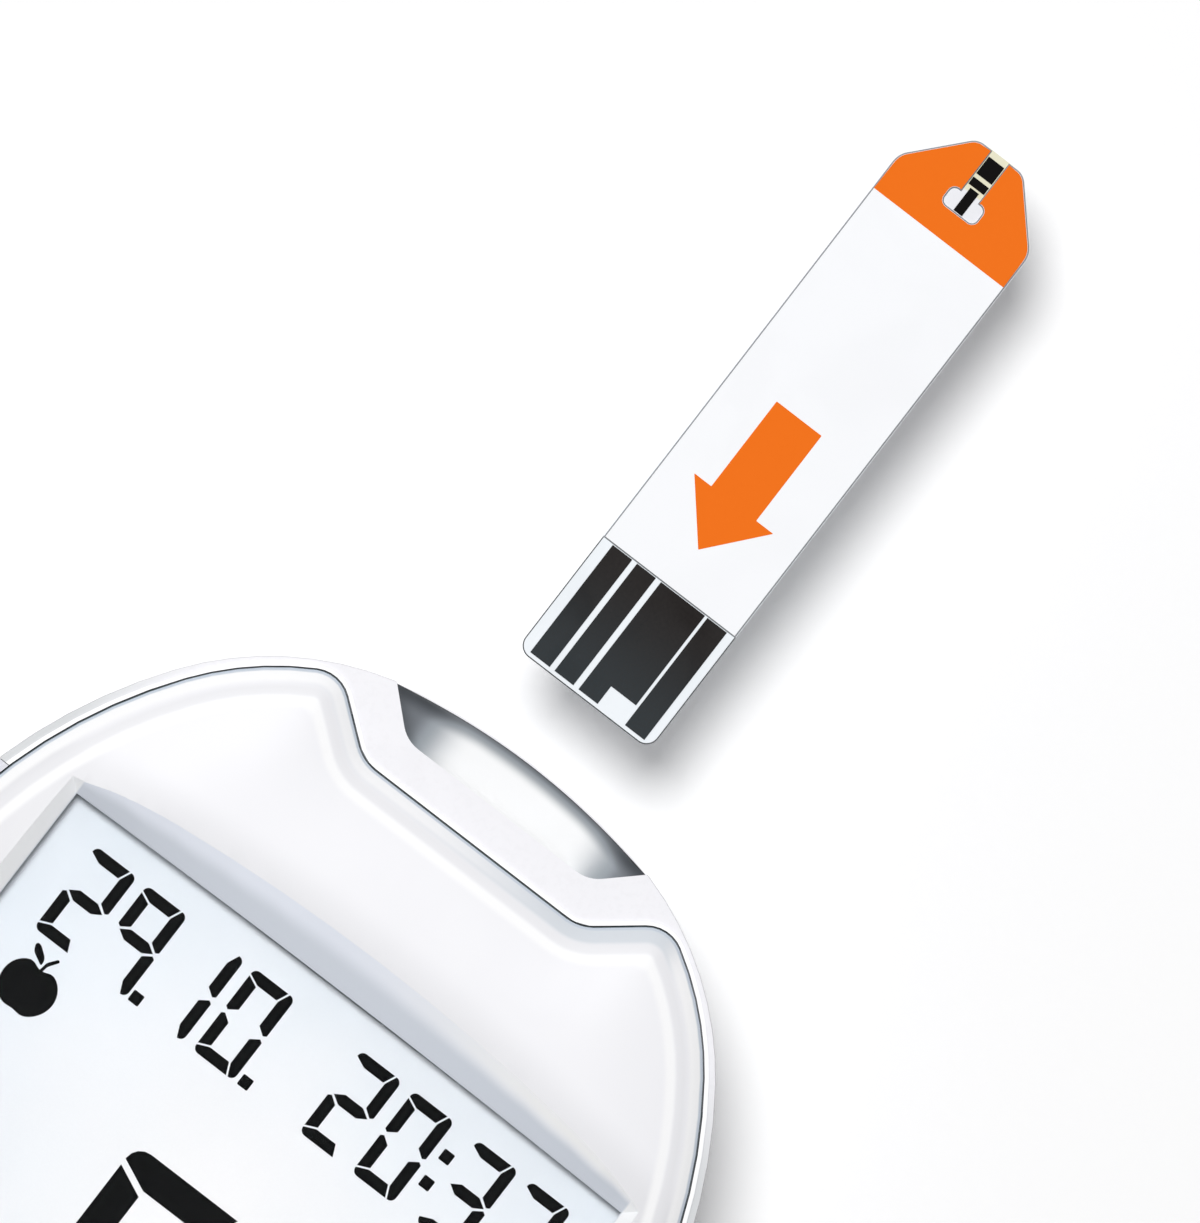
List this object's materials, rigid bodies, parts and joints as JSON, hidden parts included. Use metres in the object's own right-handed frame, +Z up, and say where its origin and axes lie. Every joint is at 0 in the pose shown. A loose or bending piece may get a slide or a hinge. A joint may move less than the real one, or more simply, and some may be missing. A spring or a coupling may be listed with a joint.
{
  "type": "blood glucose meter",
  "caption": "Oval hand-held blood glucose meter with a large display, sprung keys, a coin-cell bay under a hinged door and a test strip that slides into its top port.",
  "frame": {"origin": "on the flat rest pad under the middle of the housing's length and width", "axes": "+Z up through the display, +Y towards the strip port at the top end, +X to the right of the display"},
  "size_m": [0.062, 0.1333, 0.02],
  "materials": {
    "rear_shell": "fine satin moulded plastic",
    "rim_shell": "satin white moulded plastic",
    "cover_shell": "glossy white moulded plastic",
    "port_grey": "dark grey moulded plastic",
    "grip_skin": "pale soft-touch plastic",
    "clear_lens": "clear polished acrylic",
    "lcd_face": "pale blue-grey liquid-crystal display with dark segments",
    "reflector_white": "white diffusing sheet",
    "frame_ivory": "natural moulded plastic",
    "zebra_rubber": "striped conductive silicone rubber",
    "board_green": "green solder mask on glass-fibre board",
    "chip_black": "moulded black epoxy",
    "chip_tan": "ceramic chips",
    "steel": "brushed nickel-plated steel",
    "gilt_spring": "gold-plated spring brass",
    "key_grey": "pale grey moulded plastic",
    "strip_white": "white polyester sheet",
    "strip_carbon": "printed carbon ink",
    "strip_film": "white cover film with an orange tip"
  },
  "bodies": {
    "meter": {"rear_housing": "rear_shell", "upper_housing": "rim_shell", "front_cover": "cover_shell", "port_scoop": "port_grey", "grip_left": "grip_skin", "grip_right": "grip_skin", "display_lens": "clear_lens", "lcd_glass": "lcd_face", "lcd_reflector": "reflector_white", "lcd_frame": "frame_ivory", "zebra_connectors": "zebra_rubber", "main_board": "board_green", "controller_chip": "chip_black", "memory_chip": "chip_black", "quartz_crystal": "steel", "board_parts": "chip_tan", "buzzer": "chip_black", "strip_connector": "frame_ivory", "contact_springs": "gilt_spring", "key_switches": "chip_black", "coin_cell_left": "steel", "coin_cell_right": "steel", "cell_contacts": "gilt_spring", "housing_screws": "steel", "board_screws": "steel"},
    "power_button": {"power_key": "key_grey", "power_plunger": "chip_black"},
    "up_button": {"up_key": "key_grey", "up_plunger": "chip_black"},
    "down_button": {"down_key": "key_grey", "down_plunger": "chip_black"},
    "door": {"battery_door": "rear_shell"},
    "test_strip": {"strip_base": "strip_white", "strip_tracks": "strip_carbon", "strip_electrode": "strip_carbon", "strip_film": "strip_film"}
  },
  "joints": [
    {"name": "power_press", "type": "slide", "parent": "meter", "child": "power_button", "axis": [0, 0, -1], "range_m": [0, 0.0005], "stiffness_N_per_m": 1500},
    {"name": "up_press", "type": "slide", "parent": "meter", "child": "up_button", "axis": [0, 0, -1], "range_m": [0, 0.0005], "stiffness_N_per_m": 1500},
    {"name": "down_press", "type": "slide", "parent": "meter", "child": "down_button", "axis": [0, 0, -1], "range_m": [0, 0.0005], "stiffness_N_per_m": 1500},
    {"name": "door_hinge", "type": "hinge", "parent": "meter", "child": "door", "pos_m": [0, -0.0027, 0.00125], "axis": [1, 0, 0], "range_deg": [0, 90]},
    {"name": "strip_slide", "type": "slide", "parent": "meter", "child": "test_strip", "axis": [0, 1, 0], "range_m": [-0.01958, 0]}
  ]
}
